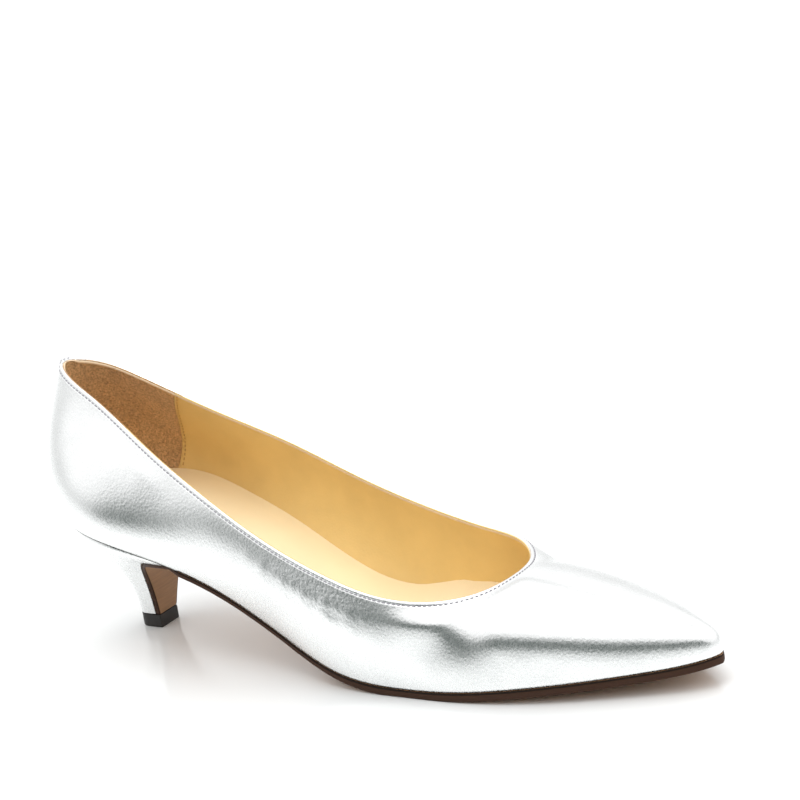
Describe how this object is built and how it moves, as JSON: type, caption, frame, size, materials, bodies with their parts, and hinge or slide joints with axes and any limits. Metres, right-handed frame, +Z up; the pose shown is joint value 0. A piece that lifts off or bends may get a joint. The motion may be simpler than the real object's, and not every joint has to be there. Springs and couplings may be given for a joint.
{
  "type": "kitten heel pump",
  "caption": "Right shoe of a low pump: hollow lasted metallic upper, pointed toe, thin leather sole, covered kitten heel with rubber top piece.",
  "frame": {"origin": "middle of the heel's top piece, on the floor", "axes": "+X towards the toe, -Y towards the outer side of the foot, +Z up"},
  "size_m": [0.25, 0.0735, 0.0926],
  "materials": {
    "upper": "silver foil leather with a soft gloss and fine grain",
    "insole": "smooth matt sock leather",
    "outsole": "smooth sole leather with a stained edge",
    "heel": "silver foil leather over a moulded core",
    "top_piece": "matt hard rubber"
  },
  "bodies": {
    "root": {"upper": "upper", "insole": "insole", "outsole": "outsole", "heel": "heel", "top_piece": "top_piece"}
  },
  "joints": []
}
